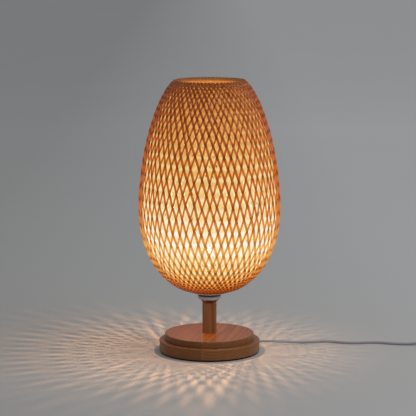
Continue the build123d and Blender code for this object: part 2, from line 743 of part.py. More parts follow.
window_half_length = rocker_radius + 0.3
window_half_width = rocker_half_width + 0.3
roof = switch_height - switch_wall
with BuildPart() as switch_cover:
    with BuildSketch(switch_plane(switch_lead_height)) as cover_outline:
        Polygon(*switch_outline, align=None)
        fillet(cover_outline.vertices(), radius=3.0)
    extrude(amount=switch_height - switch_lead_height)
    fillet(switch_cover.edges().group_by(Axis.Z)[-1], radius=2.6)
    with BuildSketch(switch_plane(switch_lead_height)):
        RectangleRounded(switch_body_length - 2.0, switch_width - 2 * switch_wall, 2.0)
    extrude(amount=roof - switch_lead_height, mode=Mode.SUBTRACT)
    with BuildSketch(switch_plane(roof - 1)):
        Rectangle(2 * window_half_length, 2 * window_half_width)
    extrude(amount=switch_wall + 2, mode=Mode.SUBTRACT)
    with BuildSketch(switch_plane(switch_lead_height)):
        with Locations(*screw_places):
            Circle(2.6)
            Circle(1.05, mode=Mode.SUBTRACT)
    extrude(amount=roof - switch_lead_height)
    with BuildSketch(switch_plane(rocker_pivot_height - 2.6)):
        with Locations((0, window_half_width + 1.5), (0, -window_half_width - 1.5)):
            Rectangle(6.0, 3.0)
    extrude(amount=roof - rocker_pivot_height + 2.6)
    with BuildSketch(
        Plane(origin=(switch_x, switch_y - half_width, rocker_pivot_height), z_dir=(0, 1, 0))
    ):
        Circle(1.25)
    extrude(amount=half_width - switch_wall, mode=Mode.SUBTRACT)
    with BuildSketch(
        Plane(origin=(switch_x, switch_y + window_half_width - 0.5, rocker_pivot_height), z_dir=(0, 1, 0))
    ):
        Circle(1.25)
    extrude(amount=3.0, mode=Mode.SUBTRACT)
    with BuildSketch(
        Plane(origin=(switch_x - switch_length, switch_y, switch_lead_height), z_dir=(1, 0, 0))
    ):
        Circle(lead_radius + 0.3)
    extrude(amount=2 * switch_length, mode=Mode.SUBTRACT)
switch_cover.part.label = "switch_cover"
export_step(switch_cover.part, "parts/switch_cover.step")

# The rocker is drawn level and then tipped to its "on" end, where it rests.
rocker_top = 4.6
rocker_bottom = 3.2
ridge_rise = rocker_radius * math.tan(math.radians(rocker_tilt))
rocker_plane = Plane(
    origin=(switch_x, switch_y, rocker_pivot_height),
    x_dir=(math.cos(math.radians(rocker_tilt)), 0, math.sin(math.radians(rocker_tilt))),
    z_dir=(0, -1, 0),
)
with BuildPart() as switch_rocker:
    with BuildSketch(rocker_plane):
        Circle(rocker_radius)
        with BuildLine():
            Polyline(
                (-12, rocker_top + 12 / rocker_radius * ridge_rise), (0, rocker_top),
                (12, rocker_top + 12 / rocker_radius * ridge_rise), (12, -rocker_bottom),
                (-12, -rocker_bottom), close=True,
            )
        make_face(mode=Mode.INTERSECT)
    extrude(amount=rocker_half_width, both=True)
    fillet(switch_rocker.edges().group_by(Axis.Z)[-1], radius=0.4)
    with BuildSketch(rocker_plane):
        Circle(1.2)
    extrude(amount=rocker_half_width + 2.6, both=True)
switch_rocker.part.label = "switch_rocker"
export_step(switch_rocker.part, "parts/switch_rocker.step")

with BuildPart() as switch_screws:
    with BuildSketch(switch_plane(0.2)):
        with Locations(*screw_places):
            Circle(2.1)
    extrude(amount=1.3)
    with BuildSketch(switch_plane(1.5)):
        with Locations(*screw_places):
            Circle(1.0)
    extrude(amount=9.0)
    with BuildSketch(switch_plane(0.2)):
        with Locations(*screw_places):
            Rectangle(3.0, 0.6)
            Rectangle(0.6, 3.0)
    extrude(amount=0.7, mode=Mode.SUBTRACT)
switch_screws.part.label = "switch_screws"
export_step(switch_screws.part, "parts/switch_screws.step")

# Two brass contacts under the rocker: a fixed one and the rocking leaf's rest.
with BuildPart() as switch_contacts:
    with BuildSketch(switch_plane(switch_wall)):
        with Locations((-7.5, -4.5), (7.5, -4.5)):
            Rectangle(7.0, 4.0)
    extrude(amount=0.8)
    with BuildSketch(switch_plane(switch_wall + 0.8)):
        with Locations((-5.0, -4.5), (5.0, -4.5)):
            Rectangle(2.0, 4.0)
    extrude(amount=1.6)
switch_contacts.part.label = "switch_contacts"
export_step(switch_contacts.part, "parts/switch_contacts.step")

clamp_x = half_body - 4.6
with BuildPart() as cord_clamps:
    with BuildSketch(switch_plane(switch_lead_height + lead_radius)):
        with Locations((clamp_x, 0), (-clamp_x, 0)):
            RectangleRounded(4.0, 11.0, 0.8)
    extrude(amount=2.2)
cord_clamps.part.label = "cord_clamps"
export_step(cord_clamps.part, "parts/cord_clamps.step")

# The cores inside the switch: one goes straight through, one stops at each contact.
sheath_end = 21.0
sheath_start = 22.5
with BuildPart() as switch_cores:
    with BuildSketch(Plane(origin=(switch_x - sheath_end, switch_y + 1.0, 5.6), z_dir=(1, 0, 0))):
        Circle(core_radius)
    extrude(amount=sheath_end + sheath_start)
    with BuildSketch(Plane(origin=(switch_x - sheath_end, switch_y - 1.0, 5.6), z_dir=(1, 0, 0))):
        Circle(core_radius)
    extrude(amount=sheath_end - 8.0)
    with BuildSketch(Plane(origin=(switch_x + 8.0, switch_y - 1.0, 5.6), z_dir=(1, 0, 0))):
        Circle(core_radius)
    extrude(amount=sheath_start - 8.0)
switch_cores.part.label = "switch_cores"
export_step(switch_cores.part, "parts/switch_cores.step")

# ======================================================================= plug
relief_end = plug_x - plug_relief_length
body_end = relief_end - plug_body_length
with BuildPart() as plug_body:
    with BuildSketch(Plane(origin=(relief_end + 1.0, plug_y, plug_lead_height), z_dir=(-1, 0, 0))):
        RectangleRounded(plug_thickness - 3.0, plug_width - 10.0, 4.5)
    with BuildSketch(Plane(origin=(relief_end - 14.0, plug_y, plug_lead_height), z_dir=(-1, 0, 0))):
        RectangleRounded(plug_thickness, plug_width, 5.0)
    loft()
    with BuildSketch(Plane(origin=(relief_end - 14.0, plug_y, plug_lead_height), z_dir=(-1, 0, 0))):
        RectangleRounded(plug_thickness, plug_width, 5.0)
    extrude(amount=plug_body_length - 14.0)
    fillet(plug_body.edges().group_by(Axis.X)[0], radius=1.2)
    with BuildSketch(Plane(origin=(plug_x, plug_y, plug_lead_height), z_dir=(-1, 0, 0))):
        Circle(lead_radius + 1.0)
    with BuildSketch(Plane(origin=(relief_end + 0.5, plug_y, plug_lead_height), z_dir=(-1, 0, 0))):
        Circle(5.2)
    loft()
    with BuildSketch(Plane(origin=(body_end, plug_y, plug_lead_height), z_dir=(1, 0, 0))):
        with Locations((0, pin_spacing / 2), (0, -pin_spacing / 2)):
            Circle(pin_radius)
    extrude(amount=6.0, mode=Mode.SUBTRACT)
plug_body.part.label = "plug_body"
export_step(plug_body.part, "parts/plug_body.step")

pin_plane_back = Plane(origin=(body_end + 6.0, plug_y, plug_lead_height), z_dir=(-1, 0, 0))
pin_places = [(0, pin_spacing / 2), (0, -pin_spacing / 2)]
with BuildPart() as plug_pins:
    with BuildSketch(pin_plane_back):
        with Locations(*pin_places):
            Circle(pin_radius)
    extrude(amount=6.0)
    with BuildSketch(Plane(origin=(body_end, plug_y, plug_lead_height), z_dir=(-1, 0, 0))):
        with Locations(*pin_places):
            Circle(pin_core_radius)
    extrude(amount=sleeve_length)
    with BuildSketch(Plane(origin=(body_end - sleeve_length, plug_y, plug_lead_height), z_dir=(-1, 0, 0))):
        with Locations(*pin_places):
            Circle(pin_radius)
    extrude(amount=pin_length - sleeve_length)
    fillet(plug_pins.edges().group_by(Axis.X)[0], radius=1.2)
plug_pins.part.label = "plug_pins"
export_step(plug_pins.part, "parts/plug_pins.step")

with BuildPart() as plug_sleeves:
    with BuildSketch(Plane(origin=(body_end, plug_y, plug_lead_height), z_dir=(-1, 0, 0))):
        with Locations(*pin_places):
            Circle(pin_radius)
            Circle(pin_core_radius, mode=Mode.SUBTRACT)
    extrude(amount=sleeve_length)
plug_sleeves.part.label = "plug_sleeves"
export_step(plug_sleeves.part, "parts/plug_sleeves.step")
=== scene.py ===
# %% [markdown]
# # A bamboo table lamp
# The lamp is a wooden foot with a short stem, a lampholder, a bulb and an egg-shaped shade woven from split
# bamboo. Its lead runs to a switch, then to a coil of spare lead and a plug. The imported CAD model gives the
# frame: every rigid piece with its place and its size. Blender adds what CAD leaves plain, which is the
# weave, the lead and every finish. All lengths are in metres.

import math

import bmesh
import bpy
import numpy as np
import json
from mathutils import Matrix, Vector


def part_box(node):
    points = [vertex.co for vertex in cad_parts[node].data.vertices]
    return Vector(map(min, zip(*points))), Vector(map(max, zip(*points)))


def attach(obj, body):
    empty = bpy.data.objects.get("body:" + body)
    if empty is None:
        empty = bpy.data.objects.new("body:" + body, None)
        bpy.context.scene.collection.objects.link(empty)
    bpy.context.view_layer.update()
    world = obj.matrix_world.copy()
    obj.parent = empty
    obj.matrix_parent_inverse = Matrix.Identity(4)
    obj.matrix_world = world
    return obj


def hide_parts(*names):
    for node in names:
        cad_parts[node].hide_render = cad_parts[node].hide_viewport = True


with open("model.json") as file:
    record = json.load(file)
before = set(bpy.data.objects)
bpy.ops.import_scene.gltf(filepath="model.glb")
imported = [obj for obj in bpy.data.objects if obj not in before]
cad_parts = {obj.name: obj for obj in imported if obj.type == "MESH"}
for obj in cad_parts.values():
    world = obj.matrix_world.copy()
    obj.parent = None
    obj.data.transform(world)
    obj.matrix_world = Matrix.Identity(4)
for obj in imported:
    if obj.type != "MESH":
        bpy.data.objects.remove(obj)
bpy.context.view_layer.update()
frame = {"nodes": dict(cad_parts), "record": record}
nodes = frame["nodes"]
mm = 0.001

# %% [markdown]
# ## Writing finishes as sums
# A finish is a graph of nodes, and most of its nodes do arithmetic. A small class stands for one output
# socket and overloads the operators, so `1 - mask * 0.3` adds its Math nodes by itself. Everything else,
# such as a noise or a bump, comes from one method that takes the node's type, its settings and its inputs.


# %% A socket with arithmetic
class Signal:
    """One output socket of a finish's graph."""

    def __init__(self, finish, socket):
        self.finish, self.socket = finish, socket

    def maths(self, operation, first, second):
        return self.finish.add("Math", {"operation": operation}, {0: first, 1: second})

    def __add__(self, other):
        return self.maths("ADD", self, other)

    def __sub__(self, other):
        return self.maths("SUBTRACT", self, other)

    def __rsub__(self, other):
        return self.maths("SUBTRACT", other, self)

    def __mul__(self, other):
        return self.maths("MULTIPLY", self, other)

    def __truediv__(self, other):
        return self.maths("DIVIDE", self, other)

    def __pow__(self, other):
        return self.maths("POWER", self, other)

    def __abs__(self):
        return self.finish.add("Math", {"operation": "ABSOLUTE"}, {0: self})

    def fraction(self):
        """What is left after the whole number."""
        return self.finish.add("Math", {"operation": "FRACT"}, {0: self})

    __radd__, __rmul__ = __add__, __mul__


# %% A finish, and the node method
class Finish:
    """A material whose nodes are added one by one."""

    def __init__(self, name):
        self.material = bpy.data.materials.new(name)
        self.material.use_nodes = True
        self.tree = self.material.node_tree
        self.tree.nodes.clear()
        self.output = self.tree.nodes.new("ShaderNodeOutputMaterial")

    def add(self, kind, settings=None, sockets=None, out=0):
        node = self.tree.nodes.new("ShaderNode" + kind)
        for name, value in (settings or {}).items():
            if name == "stops":  # a colour ramp's places and colours, from left to right
                ramp = node.color_ramp.elements
                for place, colour in value[1:-1]:
                    ramp.new(place).color = (*colour, 1)
                for end in (0, -1):
                    ramp[end].position, ramp[end].color = value[end][0], (*value[end][1], 1)
            else:
                setattr(node, name, value)
        for key, value in (sockets or {}).items():
            if isinstance(value, Signal):
                self.tree.links.new(value.socket, node.inputs[key])
            elif value is not None:
                colour = node.inputs[key].type == "RGBA" and len(value) == 3
                node.inputs[key].default_value = (*value, 1) if colour else value
        return Signal(self, node.outputs[out])

    def place(self, scale=(1, 1, 1), turn=(0, 0, 0)):
        """Object coordinates, stretched or turned."""
        here = self.add("TexCoord", out="Object")
        return self.add("Mapping", {}, {"Vector": here, "Rotation": turn, "Scale": scale})

    def axes(self, vector):
        """A vector's X, Y and Z."""
        parts = self.add("SeparateXYZ", {}, {"Vector": vector}).socket.node.outputs
        return [Signal(self, part) for part in parts]

    def noise(self, scale, detail=3, rough=0.5, where=None):
        where = where or self.place()
        return self.add(
            "TexNoise", {}, {"Vector": where, "Scale": scale, "Detail": detail, "Roughness": rough}
        )

    def share(self, factor, low, high):
        """0 below low, 1 above high."""
        return self.add("MapRange", {}, {"Value": factor, "From Min": low, "From Max": high})

    def blend(self, factor, first, second, how="MIX"):
        """From the first colour to the second."""
        kind = {"data_type": "RGBA", "blend_type": how}
        return self.add("Mix", kind, {0: factor, 6: first, 7: second}, out=2)

    def attribute(self, name):
        return self.add("Attribute", {"attribute_name": name}, out="Fac")

    def bump(self, height, depth, strength=1.0):
        return self.add("Bump", {}, {"Height": height, "Distance": depth, "Strength": strength})

    def surface(self, **sockets):
        """A Principled shader; names have _ for the spaces."""
        return self.add("BsdfPrincipled", {}, {k.replace("_", " "): v for k, v in sockets.items()})

    def done(self, shader):
        self.tree.links.new(shader.socket, self.output.inputs["Surface"])
        return self.material


print("shader helpers are ready")

# %% [markdown]
# ## The camera, the floor and the light
# The lamp stands on a pale table in a soft, even room. The floor is one large sheet with nothing to catch
# the eye, and a grey sky does most of the lighting, because that gives the near-shadowless look of a big
# studio tent. One wide lamp overhead, a little to the right, gives the foot a lit top and a darker side.

# %% Camera
camera = bpy.data.objects.new("camera", bpy.data.cameras.new("camera"))
bpy.context.scene.collection.objects.link(camera)
looks_down = math.radians(8.811)
camera.location = (-0.0022, -2.75, 0.645)
camera.rotation_euler = (math.radians(90) - looks_down, 0, 0)
camera.data.sensor_width, camera.data.lens = 36, 160.7
camera.data.clip_start, camera.data.clip_end = 0.05, 200
bpy.context.scene.camera = camera
bpy.context.scene.view_settings.view_transform = "Standard"
print("camera", round(camera.location.length, 2), "m away")


# %% Turning a bmesh into a piece
def piece(name, mesh_data, finish, body="root", stands_for=()):
    """Makes an object at the origin from a finished bmesh or a curve, hangs it under its body and hides the
    CAD pieces it stands for.
    """
    if isinstance(mesh_data, bmesh.types.BMesh):
        mesh = bpy.data.meshes.new(name)
        mesh_data.to_mesh(mesh)
        mesh_data.free()
        mesh_data = mesh
    shown = bpy.data.objects.new(name, mesh_data)
    bpy.context.scene.collection.objects.link(shown)
    shown.data.materials.append(finish)
    if body:
        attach(shown, body)
        if stands_for:
            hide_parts(*stands_for)
    return shown


# %% Floor
def floor_finish():
    """A smooth grey table top with the studio's fall-off of light painted in: darker near the front and on
    the left.
    """
    f = Finish("pale_table_top")
    clouds = f.noise(1.7, 2)
    grain = f.noise(900, 2)
    x, y, _ = f.axes(f.place())
    # The studio's light is painted into the table's colour: lighter to the right and further back, darker on
    # the left and near the front.
    painted_light_to_right = f.share(x, -0.5, 0.35)
    away = f.share(y, 0.2, 3.0)
    near = f.blend(painted_light_to_right, (0.415, 0.412, 0.41), (0.53, 0.54, 0.55))
    far = f.blend(painted_light_to_right, (0.50, 0.50, 0.50), (0.78, 0.79, 0.80))
    colour = f.blend(clouds * 0.04, f.blend(away, near, far), (0.4, 0.4, 0.4))
    return f.done(
        f.surface(
            Base_Color=colour,
            Roughness=f.share(clouds, 0, 1) * 0.08 + 0.5,
            Normal=f.bump(grain, 0.00003),
            Specular_IOR_Level=0.3,
        )
    )


half_floor = 60
table = bmesh.new()
bmesh.ops.create_grid(table, x_segments=8, y_segments=8, size=half_floor)
table_top = piece("table_top", table, floor_finish(), body=None)
print("floor ready")

# %% Light
world = bpy.data.worlds.new("studio")
bpy.context.scene.world = world
world.use_nodes = True
sky = world.node_tree.nodes["Background"].inputs
sky["Color"].default_value = (0.965, 0.985, 1.0, 1)
sky["Strength"].default_value = 0.34


def light(name, kind, power, colour):
    """Any lamp, put in the scene; the caller sets its place and its size."""
    lamp = bpy.data.lights.new(name, kind)
    lamp.energy, lamp.color = power, colour
    holder = bpy.data.objects.new(name, lamp)
    bpy.context.scene.collection.objects.link(holder)
    return holder


def soft_box(name, place, towards, size, power, colour):
    """A wide square lamp that shines at a point."""
    holder = light(name, "AREA", power, colour)
    holder.data.shape, holder.data.size = "SQUARE", size
    holder.location = place
    away = Vector(place) - Vector(towards)
    holder.rotation_euler = away.to_track_quat("Z", "Y").to_euler()
    return holder


soft_box("key_box", place=(1.5, -0.6, 2.4), towards=(0.1, 0.2, 0), size=2.2, power=26,
         colour=(1.0, 0.985, 0.965))  # fmt: skip

# The lamps for the table shine downwards, tipped a little to the left, where the fan of light is strongest.
spot_opening, spot_softness, spot_tip = math.radians(142), 0.8, math.radians(9)
table_lamps, lowest_lift, lift_step = 3, 0.012, 0.006


def bulb_light(name, kind, power, colour, lift, radius):
    """A small round lamp at the filament, or a little above it."""
    holder = light(name, kind, power, colour)
    holder.data.shadow_soft_size = radius
    if kind == "SPOT":
        holder.data.spot_size, holder.data.spot_blend = spot_opening, spot_softness
        holder.rotation_euler = (0, spot_tip, 0)
    filament_low, filament_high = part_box("bulb_filament")
    holder.location = (filament_low + filament_high) / 2 + Vector((0, 0, lift))
    holder.visible_camera = False
    return holder


inside_light = bulb_light("inside_light", "POINT", 0.14, (1.0, 0.80, 0.54), lift=0.0, radius=0.005)
table_lights = []
for i in range(table_lamps):
    lift = lowest_lift + i * lift_step
    table_lights.append(bulb_light(f"table_light_{i}", "SPOT", 2.4, (1.0, 0.53, 0.26), lift, radius=0.0025))
under_shade = light("under_shade", "AREA", 0.13, (1.0, 0.50, 0.22))
under_shade.data.shape, under_shade.data.size = "DISK", 0.11
under_shade.location = (-0.012, 0, 0.0925)
under_shade.visible_camera = False
sheen_box = soft_box("sheen_box", place=(1.65, -0.95, 1.55), towards=(0.02, -0.05, 0.36), size=0.6, power=45,
                     colour=(1.0, 0.93, 0.90))  # fmt: skip
print("bulb glows at", [round(x, 4) for x in inside_light.location])

# %% [markdown]
# ## The woven shade
# The shade is a tube of about fifty-eight strips that lean to the left and as many that lean to the right,
# each over one and under the next. Over the rim the strips fold inwards and go down again, which makes an
# inner wall a few millimetres behind the outer one. Strips laid on a rounded form follow the shortest way
# over it, so they run steeply round the belly and lean over near the two ends. A strip could be a curve
# with a bevel, but then its flat section would twist. Here one straight strip is cut into short lengths,
# repeated side by side, and then every vertex is moved to its place on the wall: along the strip becomes
# along the path, across it stays across, and a wave lifts it over one neighbour and under the next.

# %% The wall's outline
strips_each_way = 58
lean = 0.030  # radius at which a strip would lie flat round the shade
steepest = math.sin(math.radians(50))  # the most that a strip leans over, near the two ends
half_wall = 0.0008
outer_outline = [
    (26.0, 91.9), (36.0, 93.9), (50.0, 99.6), (66.0, 111.4), (79.0, 125.4), (91.0, 145.1), (102.6, 179.5),
    (106.5, 216.0), (104.0, 262.0), (96.0, 313.0), (84.8, 353.5), (69.8, 389.2), (57.6, 407.0), (52.3, 411.0),
]  # fmt: skip
inner_outline = [
    (52.3, 411.0), (48.2, 407.5), (54.4, 397.0), (63.0, 385.0), (77.6, 350.0), (88.5, 311.0), (96.4, 261.0),
    (98.9, 215.0), (95.2, 182.0), (84.4, 150.0), (64.0, 121.0), (43.0, 105.5), (30.0, 98.0), (24.6, 94.2),
]  # fmt: skip


def trace(name, outline):
    """Points every fraction of a millimetre along a smooth line through the outline: radius and height."""
    curve = bpy.data.curves.new(name, "CURVE")
    curve.dimensions, curve.resolution_u = "3D", 40
    line = curve.splines.new("BEZIER")
    line.bezier_points.add(len(outline) - 1)
    for knot, (radius, height) in zip(line.bezier_points, outline):
        knot.co = (radius * mm, 0, height * mm)
        knot.handle_left_type = knot.handle_right_type = "AUTO"
    holder = bpy.data.objects.new(name, curve)
    mesh = bpy.data.meshes.new_from_object(holder)
    points = np.array([v.co for v in mesh.vertices])[:, [0, 2]]
    bpy.data.objects.remove(holder)
    bpy.data.meshes.remove(mesh)
    return points


outer_line = trace("outer_line", outer_outline)
inner_line = trace("inner_line", inner_outline)
print("outline:", len(outer_line), "points, widest", round(outer_line[:, 0].max() / mm, 1), "mm")


# %% The path of one strip
def strip_path(line, turned_before):
    """A table along one wall: length, radius, height, turned angle, the normal and the strip's lean."""
    step = np.diff(line, axis=0)
    length = np.r_[0, np.cumsum(np.hypot(*step.T))]
    radius, height = line.T
    along = np.gradient(line, length, axis=0)
    along /= np.hypot(*along.T)[:, None]
    normal = np.c_[along[:, 1], -along[:, 0]]
    leaning = np.arcsin(np.minimum(lean / radius, steepest))
    rate = np.tan(leaning) / radius
    turned = turned_before + np.r_[0, np.cumsum((rate[1:] + rate[:-1]) / 2 * np.diff(length))]
    return {
        "length": length,
        "radius": radius - normal[:, 0] * half_wall,
        "height": height - normal[:, 1] * half_wall,
        "turned": turned,
        "normal_r": normal[:, 0],
        "normal_z": normal[:, 1],
        "lean": leaning,
    }


outer_path = strip_path(outer_line, 0.0)
inner_path = strip_path(inner_line, outer_path["turned"][-1])
row = math.pi / strips_each_way  # a strip meets the next crossing each time it has turned by this much
print("rows of crossings:", round(outer_path["turned"][-1] / row, 1))


# %% A straight bundle of strips
flat_half = 0.42  # half of a strip's flat face; the rest of its half width is the rounded edge


def straight_bundle(cuts):
    """Strips along X, one each 2 units, 1 long on Z and 1 wide, with a flat six-sided section."""
    bundle = bmesh.new()
    bmesh.ops.create_cone(bundle, cap_ends=True, segments=6, radius1=0.5, radius2=0.5, depth=1)
    for v in bundle.verts:
        if abs(v.co.y) > 0.1:  # all but the two corners at the strip's edges
            v.co.x, v.co.y = math.copysign(flat_half, v.co.x), math.copysign(0.5, v.co.y)
    long_edges = [e for e in bundle.edges if abs(e.verts[0].co.z - e.verts[1].co.z) > 0.5]
    bmesh.ops.subdivide_edges(bundle, edges=long_edges, cuts=cuts - 1)
    bmesh.ops.spin(
        bundle, geom=bundle.verts[:] + bundle.edges[:] + bundle.faces[:], cent=(0, 0, 0), axis=(0, 0, 1),
        dvec=(2, 0, 0), angle=0, steps=strips_each_way - 1, use_duplicate=True, use_merge=False,
    )  # fmt: skip
    return bundle


# %% How far each strip strays from its place
stray_size = 0.055  # as a share of the strips' spacing
stray_reaches = (0.050, 0.028, 0.015)  # three waves along the strip, from long to short


def straying(seed):
    """For one layer: a function of strip and length that gives the stray, as a share of the spacing."""
    dice = np.random.default_rng(seed)
    table = (len(stray_reaches), strips_each_way)
    starts = dice.uniform(0, 2 * math.pi, table)
    sizes = dice.normal(0, stray_size, table)

    def stray(strip, length):
        strip = strip % strips_each_way
        return sum(sizes[i][strip] * np.sin(length / reach + starts[i][strip])
                   for i, reach in enumerate(stray_reaches))  # fmt: skip

    return stray


# %% Laying a bundle on a wall
width_spread = 0.08  # how much the strips differ in width, as a share
# Where a crossing's dark gives way to the glow: this share of its width, this early, over this much.
crossing_share, crossing_early, crossing_fade = 0.7, 0.08, 0.34


def woven_wall(name, path, way, width, tightest, thickness, wave, per_row, finish, slot, node, seed,
               other_seed):  # fmt: skip
    """Strips that all lean one way, laid on one wall, with per_row cuts between two crossings."""
    dice = np.random.default_rng(seed)
    rows = (path["turned"][-1] - path["turned"][0]) / row
    wall = piece(name, straight_bundle(int(rows * per_row)), finish, stands_for=[node])
    mesh = wall.data
    at = np.empty(len(mesh.vertices) * 3)
    mesh.vertices.foreach_get("co", at)
    x, y, z = at.reshape(-1, 3).T
    strip = np.round(x / 2).astype(int)
    across, through = x - 2 * strip, y
    turned = path["turned"][0] + (z + 0.5) * (path["turned"][-1] - path["turned"][0])
    of = {k: np.interp(turned, path["turned"], path[k]) for k in path}

    # Each strip strays a little, is a little wider or narrower than the next, and has a tone of its own.
    own, other = straying(seed), straying(other_seed)
    place = strip + own(strip, of["length"])
    angle = 2 * math.pi / strips_each_way * place + way * turned
    breadth = dice.normal(0, 1, strips_each_way)[strip]
    # Counted in the other family's strips, a crossing is wherever this passes a whole number.
    passed = place + way * turned / row
    before = np.floor(passed).astype(int)
    share = passed - before
    passed = passed - (1 - share) * other(before, of["length"]) - share * other(before + 1, of["length"])
    spacing = 2 * math.pi * of["radius"] / strips_each_way * np.cos(of["lean"])
    wide = np.minimum(width * (1 + width_spread * breadth), tightest * spacing)
    # The section's own directions: across the strip within the wall, and out through the wall.
    meridian = -way * np.sin(of["lean"]) * across * wide
    sideways = np.cos(of["lean"]) * across * wide
    out = through * thickness + way * wave * np.cos((passed - strip) * math.pi)
    radius = of["radius"] + out * of["normal_r"] - meridian * of["normal_z"]
    height = of["height"] + out * of["normal_z"] + meridian * of["normal_r"]
    px = radius * np.cos(angle) - sideways * np.sin(angle)
    py = radius * np.sin(angle) + sideways * np.cos(angle)
    mesh.vertices.foreach_set("co", np.c_[px, py, height].astype(np.float32).ravel())
    # How far a point is from its nearest crossing, in half rows, and how much of that is uncovered.
    from_crossing = np.abs(passed - np.round(passed)) * 2
    covered = np.minimum(wide / spacing, 0.85)
    open_share = np.clip((from_crossing - covered * crossing_share + crossing_early) / crossing_fade, 0, 1)
    kept = {
        "tone": dice.uniform(0, 1, strips_each_way)[strip],
        "along": of["length"] + strip * 0.7,
        "across": across,
        "open": open_share,
        "rise": (height - path["height"].min()) / np.ptp(path["height"]),
    }
    for key, values in kept.items():
        mesh.attributes.new(key, "FLOAT", "POINT").data.foreach_set("value", values.astype(np.float32))
    shaped = bmesh.new()
    shaped.from_mesh(mesh)
    bmesh.ops.recalc_face_normals(shaped, faces=shaped.faces)
    for face in shaped.faces:
        face.smooth = len(face.verts) == 4
    shaped.to_mesh(mesh)
    shaped.free()
    mesh.update()
    print(name, len(mesh.polygons), "faces,", round(rows, 1), "rows")
    return wall


# %% [markdown]
# ## The finish of split bamboo
# Bamboo is a bundle of long fibres, so its colour runs in streaks along the strip, darker on the skin side,
# and no two strips have the same tone. The lit shade is the hard part. Light from the bulb soaks through
# the thin inner strips and reaches the outer ones only between the crossings, so crossings stay dark and
# the strips between them glow. It could be traced through Translucent shaders, but the hard shadows of one
# wall on the other then break the strips into dashes. Here each strip carries its height and its distance
# from a crossing as attributes, and two colour ramps turn them into the glow: one ramp for crossings and
# one for open lengths.


# %% Colours given as three values from 0 to 255
def shade(*chart):
    """A colour from its three values, 0 to 255, to the linear values that shaders take."""
    return tuple(c / 3294.6 if c <= 10.3 else ((c / 255 + 0.055) / 1.055) ** 2.4 for c in chart)


# %% Bamboo
def bamboo_finish(name, pale, deep, crossing_glow, open_glow, gloss, grain_share, edge_share):
    """Streaked skin, and a glow that depends on the height and on the distance from a crossing."""
    f = Finish(name)
    tone, along, across = f.attribute("tone"), f.attribute("along"), f.attribute("across")
    fibre_place = f.add("CombineXYZ", {}, {"X": along * 60, "Y": across * 5 + tone * 37, "Z": tone * 11})
    fibres = f.noise(1.0, 4, 0.6, fibre_place)
    blotch = f.noise(1.0, 2, 0.5, f.add("CombineXYZ", {}, {"X": along * 28, "Y": tone * 50, "Z": 0.0}))
    depth = f.share(fibres * 0.55 + tone * 0.35 + blotch * 0.35, 0.32, 0.95)
    skin = f.blend(depth, pale, deep)
    rise, opened = f.attribute("rise"), f.attribute("open")
    glows = [
        f.add("ValToRGB", {"stops": [(at, shade(*chart)) for at, chart in stops]}, {"Fac": rise})
        for stops in (crossing_glow, open_glow)
    ]
    glow = f.blend(opened, *glows)
    # Less light comes through at a strip's rounded edges and where its fibres are dark.
    edge = f.share(abs(across), 0.22, 0.5)
    glow = f.blend(edge * edge_share, glow, (0.80, 0.55, 0.26), "MULTIPLY")
    glow = f.blend(depth * grain_share, glow, (0.62, 0.50, 0.42), "MULTIPLY")
    relief = f.bump(fibres, 0.00012, 0.6)
    front = f.surface(
        Base_Color=skin, Roughness=f.share(blotch, 0.2, 0.8) * 0.15 + gloss, Normal=relief,
        Specular_IOR_Level=0.28, Emission_Color=glow, Emission_Strength=1.0,
    )  # fmt: skip
    f.material.cycles.emission_sampling = "NONE"
    return f.done(front)


# Each list goes up the wall, from 0 at the strips' lowest end to 1 at the rim: a height and the colour of the
# painted glow there.
outer_crossings = [
    (0.0, (70, 6, 0)), (0.08, (92, 16, 0)), (0.22, (194, 108, 30)), (0.36, (150, 62, 6)),
    (0.50, (116, 42, 0)), (0.75, (92, 28, 0)), (1.0, (72, 24, 2)),
]  # fmt: skip
outer_open = [
    (0.0, (140, 50, 4)), (0.06, (204, 112, 30)), (0.22, (234, 182, 94)), (0.36, (208, 128, 42)),
    (0.50, (192, 98, 18)), (0.75, (160, 74, 14)), (0.92, (126, 58, 16)), (1.0, (98, 48, 16)),
]  # fmt: skip
inner_crossings = [
    (0.0, (170, 70, 14)), (0.05, (226, 150, 66)), (0.12, (246, 214, 134)), (0.24, (253, 244, 206)),
    (0.45, (234, 206, 132)), (0.62, (222, 178, 98)), (0.80, (208, 146, 70)), (0.94, (190, 122, 54)),
    (0.982, (176, 92, 30)), (0.991, (80, 40, 12)), (1.0, (66, 32, 10)),
]  # fmt: skip
inner_open = [
    (0.0, (205, 110, 36)), (0.04, (246, 200, 116)), (0.10, (252, 236, 176)), (0.24, (255, 255, 250)),
    (0.45, (246, 240, 198)), (0.62, (238, 214, 146)), (0.80, (230, 178, 104)), (0.94, (214, 146, 78)),
    (0.982, (240, 156, 70)), (0.991, (104, 54, 20)), (1.0, (84, 42, 14)),
]  # fmt: skip
outer_bamboo = bamboo_finish(
    "outer_bamboo", pale=(0.17, 0.055, 0.010), deep=(0.085, 0.022, 0.003), crossing_glow=outer_crossings,
    open_glow=outer_open, gloss=0.40, grain_share=0.45, edge_share=0.45,
)  # fmt: skip
inner_bamboo = bamboo_finish(
    "inner_bamboo", pale=(0.24, 0.13, 0.045), deep=(0.16, 0.08, 0.022), crossing_glow=inner_crossings,
    open_glow=inner_open, gloss=0.5, grain_share=0.16, edge_share=0.55,
)  # fmt: skip
print("bamboo finishes ready")

# %% Weave the four layers
outer_cut = {"tightest": 0.74, "thickness": 0.00055, "wave": 0.00036, "per_row": 5}
inner_cut = {"width": 0.0076, "tightest": 0.90, "thickness": 0.00045, "wave": 0.00034, "per_row": 4}
